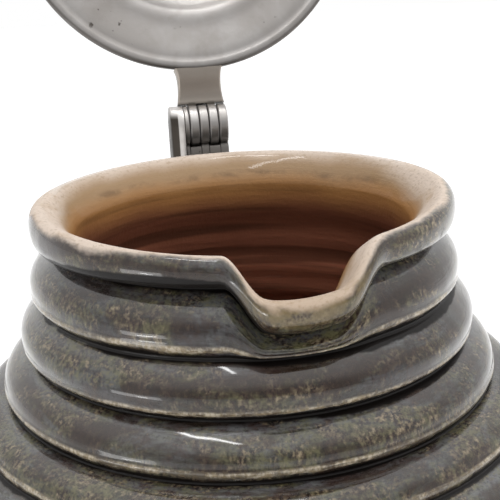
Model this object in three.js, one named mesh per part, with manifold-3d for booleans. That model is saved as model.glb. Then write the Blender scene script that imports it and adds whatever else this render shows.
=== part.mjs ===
// Stoneware beer jug with a hinged pewter lid, in millimetres.
// +Z is up. The origin is the middle of the flat base. The spout points to -Y and the handle to +Y.
// The lid stands open, leaning back against its stop, as it does while beer is poured.
import * as THREE from "three";
import { mergeVertices } from "three/addons/utils/BufferGeometryUtils.js";
import Module from "manifold-3d";

const wasm = await Module();
wasm.setup();

// Stoneware body
const jugHeight = 232; // base to the top of the rim
const rimRadius = 52; // outside of the rolled rim
const crestRadius = 49.4; // top of the roll
const throatRadius = 41.4; // foot of the slope inside the rim
const throatDrop = 8.5;
const bellyRadius = 92;
const bellyDrop = 112; // rim down to the widest place
const footRadius = 60;
const footHeight = 9;
const footFlare = 3; // the foot bead stands out by this much
const wall = 5.2; // from the groove line to the inside
const floorThickness = 10;
const shoulderTurn = 30; // how round the shoulder turns into the belly
const bellyTurn = 55;
const footTurn = 38;

// Radius and depth under the rim of each thrown groove, and the ribs between them
const grooves = [
  [46.3, 9.4],
  [51.1, 23],
  [54.3, 35],
  [60.8, 45.6],
  [69.4, 53],
  [78.3, 62.6],
];
const ribDepth = 3.9;
const ribSteps = 5;
const ribSkew = 1.25; // above 1 puts the crest low on the rib
const ribRoundness = 0.7; // below 1 makes the crests full and the grooves sharp

// Spout, pulled down and out of the rim
const spoutDip = 8.6;
const spoutPull = 6;
const spoutFlat = 3; // half of the level floor of the lip, in degrees
const spoutReach = [17, 21.5]; // from the middle of the lip to its steep and its gentle end, in degrees
const spoutTurn = 1.2; // the lip is pinched a little off the handle's line, in degrees
const spoutPullFade = 22; // depth at which the outward pull ends
const spoutDipStart = 8;
const spoutDipEnd = 26;
const frontSag = 2; // the rim sinks a little towards the spout
const frontSagReach = 85; // in degrees
const frontSagFade = 9; // depth at which the sag ends

// Handle, a pulled strap luted to the neck and the shoulder
const handleWidth = 27;
const handleThickness = 11;
const handleTaper = 0.78; // size of the lower end as a share of the upper end
const handleReach = 118; // axis of the jug to the middle of the strap at its furthest
const handleTopDrop = 16; // rim down to the middle of the strap where it leaves the neck
const handleFootDrop = 119;
const handleFlat = 9; // half of the level run that carries the band and the hinge
const handleSink = [3, 8]; // how far the middle line starts inside the throat and ends inside the belly
// The bow of the strap: share of the reach short of its furthest place, and share of the way down
const handleBow = [
  [0.119, 0.126],
  [0.0085, 0.369],
  [0.017, 0.621],
  [0.119, 0.845],
];

// Pewter mounts
const clearance = 0.3; // between pieces that seat on each other
const runningClearance = 0.1; // round the hinge pin
const hingeY = 71;
const hingeRise = 5; // hinge axis above the rim
const barrelRadius = 6.6;
const knuckleCount = 5;
const knuckleWidth = 2.75;
const pinRadius = 2.1;
const pinHeadRadius = 3.3; // peened into a countersink at both ends
const pinHeadDepth = 1.2;
const cheekWidth = 1.9; // the first knuckle is this much wider, to the left
const bandThickness = 2.2;
const bandReach = 9; // half of the band's width, along the handle
const footDepth = 9.4; // hinge foot, front to back
const lidRadius = 53.7;
const lidEdge = 2.2;
const lidDomeRadius = 33;
const lidDomeRise = 8.5;
const lidFlangeRise = 3.4;
const lidWall = 2;
const lidOpenAngle = 107; // degrees from closed
const shankWidth = 14.2; // at the lid, flaring to the whole barrel at the hinge
const shankWaist = 0.5; // drawn in on each side between the two
const shankThickness = 3.6;
const shankTongue = 15; // the part soldered on top of the flange
const thumbHeight = 22; // hinge axis up to the middle of the ball
const thumbBall = 5.4;
const thumbStem = 3.4;

const turns = 60; // facets round the body
const facetPull = [0.3, 0.12]; // draws the facets together at the spout
const degrees = Math.PI / 180;

const hingeZ = jugHeight + hingeRise;
const barrelWidth = knuckleCount * knuckleWidth + (knuckleCount - 1) * clearance;
const baseWidth = barrelWidth + cheekWidth;
const baseX = -cheekWidth / 2; // middle of the hinge base and of the pin

const stoneware = new THREE.MeshStandardMaterial({ color: 0x3b342c, roughness: 0.35, metalness: 0 });
const handleGlaze = new THREE.MeshStandardMaterial({ color: 0x38322b, roughness: 0.35, metalness: 0 });
const pewter = new THREE.MeshStandardMaterial({ color: 0xa9a6a2, roughness: 0.4, metalness: 1 });
const steel = new THREE.MeshStandardMaterial({ color: 0x8b8985, roughness: 0.35, metalness: 1 });

const smooth = (from, to, value) => {
  const t = Math.min(1, Math.max(0, (value - from) / (to - from)));
  return t * t * (3 - 2 * t);
};

// Solids and geometries
function solidFrom(geometry) {
  const plain = geometry.clone();
  plain.deleteAttribute("normal");
  plain.deleteAttribute("uv");
  const merged = mergeVertices(plain, 1e-4);
  return new wasm.Manifold(
    new wasm.Mesh({
      numProp: 3,
      vertProperties: new Float32Array(merged.attributes.position.array),
      triVerts: new Uint32Array(merged.index.array),
    }),
  );
}

function geometryFrom(solid) {
  const mesh = solid.getMesh();
  const geometry = new THREE.BufferGeometry();
  geometry.setAttribute("position", new THREE.BufferAttribute(mesh.vertProperties, 3));
  geometry.setIndex(new THREE.BufferAttribute(mesh.triVerts, 1));
  const faceted = geometry.toNonIndexed();
  faceted.computeVertexNormals();
  return faceted;
}

// A lathe about Z from points of (radius, height), started at the foot of the outside.
function turned(points, segments) {
  const geometry = new THREE.LatheGeometry(points, segments);
  geometry.rotateX(Math.PI / 2);
  return geometry;
}

// A closed skin over rings of points, each ring with the same count, capped flat at both ends.
function loft(rings) {
  const count = rings[0].length;
  const positions = rings.flat().flatMap((p) => [p.x, p.y, p.z]);
  const faces = [];
  for (let i = 0; i < rings.length - 1; i++) {
    for (let j = 0; j < count; j++) {
      const a = i * count + j;
      const b = i * count + ((j + 1) % count);
      faces.push(a, b, a + count, b, b + count, a + count);
    }
  }
  const last = (rings.length - 1) * count;
  for (let j = 1; j < count - 1; j++) {
    faces.push(0, j + 1, j);
    faces.push(last, last + j, last + j + 1);
  }
  const geometry = new THREE.BufferGeometry();
  geometry.setAttribute("position", new THREE.Float32BufferAttribute(positions, 3));
  geometry.setIndex(faces);
  return geometry;
}

// A rounded strap section in its own plane, with a shallow valley along the outer face.
function strapSection(width, thickness, sides, valley) {
  const section = [];
  for (let i = 0; i < sides; i++) {
    const angle = (i / sides) * 2 * Math.PI;
    const across = Math.sign(Math.cos(angle)) * Math.abs(Math.cos(angle)) ** 0.55 * (width / 2);
    const out = Math.sign(Math.sin(angle)) * Math.abs(Math.sin(angle)) ** 0.8 * (thickness / 2);
    const dent = Math.sin(angle) > 0 ? valley * Math.max(0, Math.cos((across / width) * Math.PI * 1.6)) : 0;
    section.push(new THREE.Vector2(across, out - dent));
  }
  return section;
}

// Rings of a section carried along a curve in the YZ plane: across is -X, out is away from the jug.
function ringsAlong(curve, steps, sectionAt, from = 0, to = 1) {
  const rings = [];
  for (let i = 0; i <= steps; i++) {
    const t = from + ((to - from) * i) / steps;
    const middle = curve.getPointAt(t);
    const tangent = curve.getTangentAt(t);
    const out = new THREE.Vector3(0, -tangent.z, tangent.y);
    rings.push(
      sectionAt(t).map((p) => new THREE.Vector3(-p.x, middle.y + out.y * p.y, middle.z + out.z * p.y)),
    );
  }
  return rings;
}

// A cylinder along X, centred on the hinge axis.
function barrel(radius, width, x, segments = 28) {
  const geometry = new THREE.CylinderGeometry(radius, radius, width, segments);
  geometry.rotateZ(Math.PI / 2);
  geometry.translate(x, hingeY, hingeZ);
  return solidFrom(geometry);
}

// A plate with a YZ outline, extruded along X about the middle plane.
function plate(outline, width, x = 0) {
  const shape = new THREE.Shape(outline.map(([y, z]) => new THREE.Vector2(y, z)));
  const geometry = new THREE.ExtrudeGeometry(shape, { depth: width, bevelEnabled: false });
  geometry.rotateY(Math.PI / 2);
  geometry.rotateX(Math.PI / 2);
  geometry.translate(x - width / 2, hingeY, hingeZ);
  return solidFrom(geometry);
}

// Outline of the wall, from the first groove down
const atDrop = (radius, drop) => new THREE.Vector2(radius, jugHeight - drop);
const grooveLine = grooves.map(([radius, drop]) => atDrop(radius, drop));
const lastGroove = grooveLine[grooves.length - 1];
const shoulderSlope = lastGroove.clone().sub(grooveLine[grooves.length - 2]).setLength(14);
const shoulderLine = new THREE.CubicBezierCurve(
  lastGroove,
  lastGroove.clone().add(shoulderSlope),
  atDrop(bellyRadius, bellyDrop - shoulderTurn),
  atDrop(bellyRadius, bellyDrop),
);
const bellyLine = new THREE.CubicBezierCurve(
  atDrop(bellyRadius, bellyDrop),
  atDrop(bellyRadius, bellyDrop + bellyTurn),
  new THREE.Vector2(footRadius + footFlare, footHeight + footTurn),
  new THREE.Vector2(footRadius, footHeight),
);

// A point beside a line that runs downwards, so that a positive distance is away from the jug's axis.
const beside = (point, run, distance) =>
  new THREE.Vector2(point.x - run.y * distance, point.y + run.x * distance);

const offsetPoint = (curve, t, distance) => beside(curve.getPointAt(t), curve.getTangentAt(t), distance);

function ribbedWall(grow) {
  const points = [];
  for (let rib = 0; rib < grooves.length - 1; rib++) {
    const run = grooveLine[rib + 1].clone().sub(grooveLine[rib]).normalize();
    const depth = ribDepth * (1 - 0.35 * (rib / (grooves.length - 2)) ** 2);
    for (let step = 0; step < ribSteps; step++) {
      const middle = grooveLine[rib].clone().lerp(grooveLine[rib + 1], step / ribSteps);
      const bulge = depth * Math.sin(Math.PI * (step / ribSteps) ** ribSkew) ** ribRoundness;
      points.push(beside(middle, run, bulge + grow));
    }
  }
  return points;
}

function outerWall(grow) {
  const points = ribbedWall(grow);
  for (let i = 0; i < 5; i++) points.push(offsetPoint(shoulderLine, i / 5, grow));
  for (let i = 0; i < 7; i++) points.push(offsetPoint(bellyLine, i / 7, grow));
  points.push(new THREE.Vector2(footRadius + grow, footHeight));
  points.push(new THREE.Vector2(footRadius + footFlare * 0.8 + grow, footHeight * 0.72));
  points.push(new THREE.Vector2(footRadius + footFlare + grow, footHeight * 0.36));
  points.push(new THREE.Vector2(footRadius + footFlare * 0.6 + grow, 0));
  return points;
}

// From the throat down to the middle of the floor.
function innerWall() {
  const points = [];
  for (let i = 1; i < grooves.length - 1; i++) {
    const run = grooveLine[i + 1].clone().sub(grooveLine[i - 1]).normalize();
    points.push(beside(grooveLine[i], run, -wall - (i === 1 ? 1.5 : 0)));
  }
  for (let i = 0; i < 4; i++) points.push(offsetPoint(shoulderLine, i / 4, -wall));
  for (let i = 0; i < 6; i++) points.push(offsetPoint(bellyLine, i / 7, -wall));
  points.push(new THREE.Vector2(footRadius - wall * 1.8, floorThickness + 3));
  points.push(new THREE.Vector2(footRadius - wall * 3.5, floorThickness));
  points.push(new THREE.Vector2(0, floorThickness));
  return points;
}

// The rolled rim, from the first groove over the crest and down the slope inside to the throat.
function rimRoll() {
  const bead = rimRadius - crestRadius;
  return [
    atDrop(rimRadius - bead * 0.55, grooves[0][1] - 1.3),
    atDrop(rimRadius - 0.1, grooves[0][1] * 0.56),
    atDrop(rimRadius, grooves[0][1] * 0.36),
    atDrop(rimRadius - bead * 0.3, grooves[0][1] * 0.12),
    atDrop(crestRadius, 0),
    atDrop(crestRadius - bead * 0.8, 0.5),
    atDrop((crestRadius + throatRadius) / 2, throatDrop * 0.38),
    atDrop(throatRadius + 1, throatDrop * 0.78),
    atDrop(throatRadius, throatDrop),
    atDrop(throatRadius + 0.4, throatDrop + 6),
  ];
}

// Moves a point of the turned body as the potter's finger pulls the lip.
function pullSpout(point) {
  const angle = Math.atan2(point.x, -point.y);
  const spread = angle - facetPull[0] * Math.sin(angle) - facetPull[1] * Math.sin(2 * angle);
  const radius = Math.hypot(point.x, point.y);
  const drop = jugHeight - point.z;
  const fromLip = Math.abs(spread / degrees - spoutTurn);
  const reach = spoutReach[spread / degrees > spoutTurn ? 1 : 0];
  const share = 1 - smooth(spoutFlat, reach, fromLip);
  const out = spoutPull * share * (1 - smooth(0, spoutPullFade, drop));
  const sag = frontSag * (1 - smooth(0, frontSagReach, fromLip));
  const dip = spoutDip * share * (1 - smooth(spoutDipStart, spoutDipEnd, drop));
  const down = dip + sag * (1 - smooth(0, frontSagFade, drop));
  point.set((radius + out) * Math.sin(spread), -(radius + out) * Math.cos(spread), point.z - down);
}

function makeBody() {
  const profile = [
    new THREE.Vector2(0, 0),
    ...outerWall(0).reverse(),
    ...rimRoll(),
    ...innerWall(),
  ];
  const geometry = turned(profile, turns);
  const place = geometry.attributes.position;
  const point = new THREE.Vector3();
  for (let i = 0; i < place.count; i++) {
    point.fromBufferAttribute(place, i);
    if (Math.hypot(point.x, point.y) > 1e-6) pullSpout(point);
    place.setXYZ(i, point.x, point.y, point.z);
  }
  return geometryFrom(solidFrom(geometry));
}

// The space that the body fills, a clearance larger, for trimming what is luted to it.
function bodySpace() {
  const outside = outerWall(clearance).reverse();
  const throat = outside[outside.length - 1];
  return solidFrom(
    turned([new THREE.Vector2(0, 0), ...outside, new THREE.Vector2(0, throat.y)], turns * 2),
  );
}

// Middle line of the handle, from inside the neck wall to inside the belly wall.
const handleLine = new THREE.CatmullRomCurve3(
  [
    [throatRadius + handleSink[0], handleTopDrop + handleSink[0]],
    [hingeY - handleFlat, handleTopDrop],
    [hingeY + handleFlat, handleTopDrop],
    ...handleBow.map(([short, down]) => [
      handleReach * (1 - short),
      handleTopDrop + (handleFootDrop - handleTopDrop) * down,
    ]),
    [bellyRadius - handleSink[1], handleFootDrop],
  ].map(([y, drop]) => new THREE.Vector3(0, y, jugHeight - drop)),
  false,
  "centripetal",
);

function handleSection(t, grow) {
  const size = 1 + (handleTaper - 1) * t;
  return strapSection(handleWidth * size + 2 * grow, handleThickness * size + 2 * grow, 20, 0.9);
}

function handleSolid(grow, steps = 26, from = 0, to = 1) {
  return solidFrom(loft(ringsAlong(handleLine, steps, (t) => handleSection(t, grow), from, to)));
}

// Share of the handle's length at a place along Y, on its upper run.
function handleShareAt(y) {
  let share = 0;
  while (handleLine.getPointAt(share).y < y) share += 0.002;
  return share;
}

function makeHandle() {
  return geometryFrom(handleSolid(0).subtract(bodySpace()));
}

const bandOuter = (grow) =>
  handleSolid(
    clearance + bandThickness + grow,
    6,
    handleShareAt(hingeY - bandReach),
    handleShareAt(hingeY + bandReach),
  );

function makeBand() {
  return geometryFrom(bandOuter(0).subtract(handleSolid(clearance)));
}

// Middle of each knuckle along X. The odd ones stand on the handle and the even ones belong to the lid.
const knuckleX = (index) => (index - (knuckleCount - 1) / 2) * (knuckleWidth + clearance);

function knuckles(first, radius, extraWidth) {
  let joined = null;
  for (let index = first; index < knuckleCount; index += 2) {
    const knuckle = barrel(radius, knuckleWidth + extraWidth, knuckleX(index));
    joined = joined ? joined.add(knuckle) : knuckle;
  }
  return joined;
}

// The pin and its countersunk ends, or the hole for them when grown by the running clearance.
function pinSolid(grow) {
  const half = (baseWidth - clearance) / 2;
  const shank = pinRadius + grow;
  const head = pinHeadRadius + grow;
  const mouth = grow > 0 ? [[head, baseWidth]] : [];
  const right = [[shank, half - pinHeadDepth], [head, half], ...mouth, [0, mouth.length ? baseWidth : half]];
  const left = right.map(([radius, along]) => [radius, -along]).reverse();
  const points = [...left, ...right].map(([radius, along]) => new THREE.Vector2(radius, along));
  const geometry = turned(points, 24);
  geometry.rotateY(Math.PI / 2);
  geometry.translate(baseX, hingeY, hingeZ);
  return solidFrom(geometry);
}

function makeHingeBase() {
  const half = footDepth / 2;
  const bottom = -hingeRise - handleTopDrop + handleThickness / 2;
  const foot = plate(
    [
      [-half - 1, bottom],
      [half + 1.5, bottom],
      [half, -barrelRadius],
      [half * 0.6, 0],
      [-half * 0.6, 0],
      [-half, -barrelRadius],
    ],
    baseWidth,
    baseX,
  );
  const cheek = barrel(barrelRadius, cheekWidth + knuckleWidth, knuckleX(0) - cheekWidth / 2);
  const cheekPlate = plate(
    [
      [-barrelRadius, bottom],
      [barrelRadius, bottom],
      [barrelRadius, 0],
      [-barrelRadius, 0],
    ],
    cheekWidth,
    baseX - (baseWidth - cheekWidth) / 2,
  );
  const solid = foot
    .add(cheek)
    .add(cheekPlate)
    .add(knuckles(2, barrelRadius, 0))
    .subtract(knuckles(1, barrelRadius + 2 * clearance, 2 * clearance))
    .subtract(pinSolid(runningClearance))
    .subtract(bandOuter(clearance));
  return geometryFrom(largest(solid));
}

// Trimming can leave crumbs, and a casting is one piece.
function largest(solid) {
  return solid.decompose().reduce((best, piece) => (piece.volume() > best.volume() ? piece : best));
}

const makePin = () => geometryFrom(pinSolid(0));

// The lid and what is soldered to it, modelled closed and then turned open about the hinge.
const lidBottom = clearance - hingeRise; // underside of the flange, from the hinge axis

function openLid(solid) {
  const geometry = geometryFrom(solid);
  geometry.translate(0, -hingeY, -hingeZ);
  geometry.rotateX(-lidOpenAngle * degrees);
  geometry.translate(0, hingeY, hingeZ);
  return geometry;
}

function lidOutline(grow) {
  const under = [
    [0, lidFlangeRise + lidDomeRise],
    [lidDomeRadius * 0.45, lidFlangeRise + lidDomeRise * 0.95],
    [lidDomeRadius * 0.78, lidFlangeRise + lidDomeRise * 0.72],
    [lidDomeRadius * 0.95, lidFlangeRise + lidDomeRise * 0.34],
    [lidDomeRadius + 1.5, lidFlangeRise],
    [lidDomeRadius + 7, lidFlangeRise * 0.72],
    [lidRadius - 6, lidFlangeRise * 0.18],
    [lidRadius - 2, 0],
    [lidRadius, 0],
  ];
  const over = [
    [lidRadius, lidEdge],
    [lidRadius - 1.2, lidEdge + 0.8],
    [lidRadius - 3.2, lidEdge + 0.6],
    [lidRadius - 7, lidFlangeRise * 0.3 + lidWall],
    [lidDomeRadius + 7, lidFlangeRise * 0.72 + lidWall],
    [lidDomeRadius + 2.4, lidFlangeRise + lidWall],
    [lidDomeRadius * 0.98, lidFlangeRise + lidDomeRise * 0.42 + lidWall],
    [lidDomeRadius * 0.79, lidFlangeRise + lidDomeRise * 0.77 + lidWall],
    [lidDomeRadius * 0.45, lidFlangeRise + lidDomeRise + lidWall],
    [0, lidFlangeRise + lidDomeRise * 1.06 + lidWall],
  ];
  const base = hingeZ + lidBottom;
  if (grow === 0) return [...under, ...over].map(([r, z]) => new THREE.Vector2(r, base + z));
  return [[0, -grow], [lidRadius + grow, -grow], ...over.map(([r, z]) => [r ? r + grow : 0, z + grow])].map(
    ([r, z]) => new THREE.Vector2(r, base + z),
  );
}

const lidSolid = (grow) => solidFrom(turned(lidOutline(grow), 52));

function makeLid() {
  return openLid(lidSolid(0));
}

const shankBottom = lidBottom + lidEdge + clearance;
const shankTop = shankBottom + shankThickness;

// The strap's outline from above, wide at the hinge, drawn in and straight on the lid.
function shankPlan(near, edge, tip) {
  const half = shankWidth / 2;
  const shape = new THREE.Shape();
  shape.moveTo(half, tip);
  shape.lineTo(half, edge);
  shape.quadraticCurveTo(half - 2 * shankWaist, (edge + near) / 2, barrelWidth / 2, near);
  shape.lineTo(-barrelWidth / 2, near);
  shape.quadraticCurveTo(-half + 2 * shankWaist, (edge + near) / 2, -half, edge);
  shape.lineTo(-half, tip);
  const depth = 4 * (shankThickness + lidFlangeRise);
  const geometry = new THREE.ExtrudeGeometry(shape, { depth, bevelEnabled: false, curveSegments: 6 });
  geometry.translate(0, hingeY, hingeZ - depth / 2);
  return solidFrom(geometry);
}

function makeShank() {
  const near = -(barrelRadius + 2 * clearance);
  const edge = lidRadius - hingeY + clearance; // where the lid's edge lies, from the hinge axis
  const tip = edge - shankTongue;
  const strap = plate(
    [
      [near, shankBottom],
      [near, shankTop],
      [tip + 5, shankTop],
      [tip, shankBottom + 1],
      [tip, lidBottom],
      [edge + 1, lidBottom],
      [near - 1, shankBottom],
    ],
    barrelWidth,
  ).intersect(shankPlan(near, edge, tip - 1));
  const arm = plate(
    [
      [0, shankBottom],
      [0, shankTop],
      [near - 1, shankTop],
      [near - 1, shankBottom],
    ],
    barrelWidth,
  );
  const solid = strap
    .add(arm)
    .subtract(lidSolid(clearance))
    .add(knuckles(1, barrelRadius, 0))
    .subtract(knuckles(0, barrelRadius + 2 * clearance, 2 * clearance))
    .subtract(barrel(pinRadius + runningClearance, barrelWidth, 0));
  return openLid(largest(solid));
}

// Curved stem with a ball, which the thumb presses down to lift the lid.
function makeThumbLift() {
  const foot = shankTop + clearance;
  const line = new THREE.CatmullRomCurve3(
    [
      [-11.5, foot],
      [-10.5, foot + 4],
      [-7.5, thumbHeight * 0.45],
      [-2.5, thumbHeight * 0.72],
      [1.5, thumbHeight],
    ].map(([y, z]) => new THREE.Vector3(0, hingeY + y, hingeZ + z)),
  );
  const section = (t) => strapSection(thumbStem * (3.2 - 2 * t), thumbStem * (1.15 - 0.2 * t), 12, 0);
  const stem = solidFrom(loft(ringsAlong(line, 10, section)));
  const ball = new THREE.SphereGeometry(thumbBall, 16, 10);
  ball.translate(0, hingeY + 1.5, hingeZ + thumbHeight);
  const reach = thumbHeight + thumbBall;
  const above = plate(
    [
      [-reach, foot],
      [reach, foot],
      [reach, 2 * reach],
      [-reach, 2 * reach],
    ],
    2 * reach,
  );
  const collar = new THREE.CylinderGeometry(thumbStem * 1.1, thumbStem * 1.1, 1.6, 16);
  collar.rotateX(Math.PI / 2 + 0.42);
  collar.translate(0, hingeY - 1.9, hingeZ + thumbHeight - thumbBall * 0.95);
  return openLid(stem.add(solidFrom(ball)).add(solidFrom(collar)).intersect(above));
}

function named(name, geometry, material) {
  const mesh = new THREE.Mesh(geometry, material);
  mesh.name = name;
  return mesh;
}

const jug = new THREE.Group();
jug.add(named("jug_body", makeBody(), stoneware));
jug.add(named("handle", makeHandle(), handleGlaze));
jug.add(named("handle_band", makeBand(), pewter));
jug.add(named("hinge_base", makeHingeBase(), pewter));
jug.add(named("hinge_pin", makePin(), steel));
jug.add(named("lid", makeLid(), pewter));
jug.add(named("lid_shank", makeShank(), pewter));
jug.add(named("thumb_lift", makeThumbLift(), pewter));

export default jug;
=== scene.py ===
import math

import bmesh
import bpy
from mathutils import Matrix, Vector, noise
from mathutils.geometry import interpolate_bezier


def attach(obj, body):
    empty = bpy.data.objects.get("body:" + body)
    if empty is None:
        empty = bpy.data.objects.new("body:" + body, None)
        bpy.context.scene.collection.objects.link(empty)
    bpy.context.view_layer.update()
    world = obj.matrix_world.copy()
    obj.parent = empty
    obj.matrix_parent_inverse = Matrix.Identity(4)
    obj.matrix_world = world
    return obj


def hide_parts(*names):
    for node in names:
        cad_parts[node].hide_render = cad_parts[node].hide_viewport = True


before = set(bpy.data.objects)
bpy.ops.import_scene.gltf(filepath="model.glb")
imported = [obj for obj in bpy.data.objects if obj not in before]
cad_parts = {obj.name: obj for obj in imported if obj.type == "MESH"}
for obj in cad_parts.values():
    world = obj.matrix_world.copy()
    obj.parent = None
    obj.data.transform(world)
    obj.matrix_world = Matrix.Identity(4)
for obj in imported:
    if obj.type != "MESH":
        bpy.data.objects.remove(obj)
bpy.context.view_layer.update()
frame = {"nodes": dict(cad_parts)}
print("frame loaded:", ", ".join(frame["nodes"]))

mm = 0.001
scene = bpy.context.scene


# ---- helpers for meshes

def smoothStep(low, high, value):
    t = min(1.0, max(0.0, (value - low) / (high - low)))
    return t * t * (3 - 2 * t)


def polar(radius, degree):
    turn = math.radians(degree)
    return radius * math.cos(turn), radius * math.sin(turn)


def signedPower(value, power):
    return math.copysign(abs(value) ** power, value)


def waveAround(angle, turns, lengthwise, shift=0.0):
    # slow noise round the jug's axis
    return noise.noise(Vector((math.cos(angle) * turns + shift, math.sin(angle) * turns, lengthwise)))


def newMesh(*layers):
    # a bmesh and its layers of one number per vertex, which the materials read as attributes
    bm = bmesh.new()
    return bm, *(bm.verts.layers.float.new(name) for name in layers)


def placeMesh(bm, name, material):
    mesh = bpy.data.meshes.new(name)
    bm.to_mesh(mesh)
    bm.free()
    mesh.materials.append(material)
    placed = bpy.data.objects.new(name, mesh)
    scene.collection.objects.link(placed)
    return placed


def finishPiece(bm, name, body, replaced, material, sharpAngle=None):
    for face in bm.faces:
        face.smooth = True
    piece = placeMesh(bm, name, material)
    if sharpAngle:
        piece.data.set_sharp_from_angle(angle=math.radians(sharpAngle))
    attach(piece, body)
    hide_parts(replaced)
    print("made", name, "with", len(piece.data.vertices), "vertices")


def closeUp(bm, distance=1e-6):
    bmesh.ops.remove_doubles(bm, verts=bm.verts, dist=distance)
    bmesh.ops.recalc_face_normals(bm, faces=bm.faces)


def spinProfile(bm, points, steps, center=(0, 0, 0), axis="Z", layers=None):
    # points are (radius, distance along the axis) in mm, and layers hold a value for each point
    verts = []
    for index, (radius, along) in enumerate(points):
        place = (radius, 0, along) if axis == "Z" else (along, 0, radius)
        vert = bm.verts.new((Vector(place) + Vector(center)) * mm)
        for layer, values in (layers or {}).items():
            vert[layer] = values[index]
        verts.append(vert)
    edges = [bm.edges.new(pair) for pair in zip(verts, verts[1:])]
    bmesh.ops.spin(bm, geom=verts + edges, cent=Vector(center) * mm,
                   axis=(0, 0, 1) if axis == "Z" else (1, 0, 0), dvec=(0, 0, 0),
                   angle=math.tau, steps=steps, use_merge=True, use_duplicate=False)


def loftRings(bm, rings, closed=False):
    # a skin over rings of the same count, drawn out ring by ring
    def edgesOf(ring, find):
        return [find((a, b)) for a, b in zip(ring, ring[1:] + ring[:1])]

    def nextOver(vert, fresh):
        return next(edge.other_vert(vert) for edge in vert.link_edges if edge.other_vert(vert) in fresh)

    ring = [bm.verts.new(point * mm) for point in rings[0]]
    edges = edgesOf(ring, bm.edges.new)
    if not closed:
        bmesh.ops.contextual_create(bm, geom=edges)
    for points in rings[1:]:
        made = bmesh.ops.extrude_edge_only(bm, edges=edges)["geom"]
        fresh = {item for item in made if isinstance(item, bmesh.types.BMVert)}
        ring = [nextOver(vert, fresh) for vert in ring]
        edges = edgesOf(ring, bm.edges.get)
        for vert, point in zip(ring, points):
            vert.co = point * mm
    if not closed:
        bmesh.ops.contextual_create(bm, geom=edges)
    closeUp(bm)


def curveThrough(points, steps):
    # a smooth line through the points, as (point, direction, share) samples an even way apart
    knots = [Vector(point) for point in points]
    fine = []
    for index in range(len(knots) - 1):
        start, end = knots[index], knots[index + 1]
        before = knots[max(index - 1, 0)]
        after = knots[min(index + 2, len(knots) - 1)]
        span = (end - start).length / 3
        fine += interpolate_bezier(start, start + (end - before).normalized() * span,
                                   end - (after - start).normalized() * span, end, 24)[:-1]
    fine.append(knots[-1])
    reach = [0.0]
    for a, b in zip(fine, fine[1:]):
        reach.append(reach[-1] + (b - a).length)
    samples = []
    place = 0
    for step in range(steps + 1):
        wanted = reach[-1] * step / steps
        while place < len(reach) - 2 and reach[place + 1] < wanted:
            place += 1
        t = (wanted - reach[place]) / max(1e-9, reach[place + 1] - reach[place])
        way = fine[min(place + 2, len(fine) - 1)] - fine[max(place - 1, 0)]
        samples.append((fine[place].lerp(fine[place + 1], min(1, t)), way.normalized(), step / steps))
    return samples


def smoothOutline(points, cuts):
    # a finer outline of (radius, height) through the given points
    return [(sample[0].x, sample[0].z) for sample in curveThrough([(r, 0, z) for r, z in points], cuts)]


# ---- helpers for materials

def addNode(tree, kind, inputs=None, **settings):
    made = tree.nodes.new(kind)
    for key, value in settings.items():
        setattr(made, key, value)
    for key, value in (inputs or {}).items():
        if isinstance(value, bpy.types.NodeSocket):
            tree.links.new(value, made.inputs[key])
        else:
            made.inputs[key].default_value = value
    return made


def linkInputs(target, sockets):
    for key, socket in sockets.items():
        socket.id_data.links.new(socket, target.inputs[key])


# a helper that takes no tree puts its node in the tree of the first socket that it is given

def mixColor(factor, first, second):
    def asColor(value):
        return value if isinstance(value, bpy.types.NodeSocket) else (*value, 1)

    inputs = {0: factor, 6: asColor(first), 7: asColor(second)}
    return addNode(factor.id_data, "ShaderNodeMix", inputs, data_type="RGBA").outputs[2]


def overlaid(color, colors, *layers):
    # each layer is a mask and the name of its colour
    for mask, name in layers:
        color = mixColor(mask, color, colors[name])
    return color


def doMath(operation, first, second=0.0, clamp=False):
    inputs = {0: first, 1: second}
    return addNode(first.id_data, "ShaderNodeMath", inputs, operation=operation, use_clamp=clamp).outputs[0]


def times(first, second):
    return doMath("MULTIPLY", first, second)


def plus(first, second, clamp=False):
    return doMath("ADD", first, second, clamp)


def minus(first, second, clamp=False):
    return doMath("SUBTRACT", first, second, clamp)


def larger(first, second):
    return doMath("MAXIMUM", first, second)


def blendOf(first, second, share):
    return plus(times(first, share), times(second, 1 - share))


def swing(value, amount):
    # noise lies about one half, so this swings to both sides of zero
    return times(minus(value, 0.5), amount)


def fade(value, low, high, start=0.0, end=1.0):
    inputs = {"Value": value, "From Min": low, "From Max": high, "To Min": start, "To Max": end}
    made = addNode(value.id_data, "ShaderNodeMapRange", inputs, interpolation_type="SMOOTHSTEP")
    return made.outputs["Result"]


def peak(value, middle, width):
    # one at the middle, falling to zero at the width on either side
    away = doMath("ABSOLUTE", minus(value, middle))
    return fade(away, 0, width, 1, 0)


def addNoise(vector, scale, detail=3.0, roughness=0.55, distortion=0.0):
    inputs = {"Vector": vector, "Scale": scale, "Detail": detail, "Roughness": roughness,
              "Distortion": distortion}
    return addNode(vector.id_data, "ShaderNodeTexNoise", inputs).outputs["Fac"]


def stretched(vector, scale):
    return addNode(vector.id_data, "ShaderNodeMapping", {"Vector": vector, "Scale": scale}).outputs["Vector"]


def splitXyz(vector):
    return addNode(vector.id_data, "ShaderNodeSeparateXYZ", {"Vector": vector}).outputs


def attributeValue(tree, name):
    return addNode(tree, "ShaderNodeAttribute", attribute_name=name).outputs["Fac"]


def objectPlace(tree):
    return addNode(tree, "ShaderNodeTexCoord").outputs["Object"]


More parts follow.
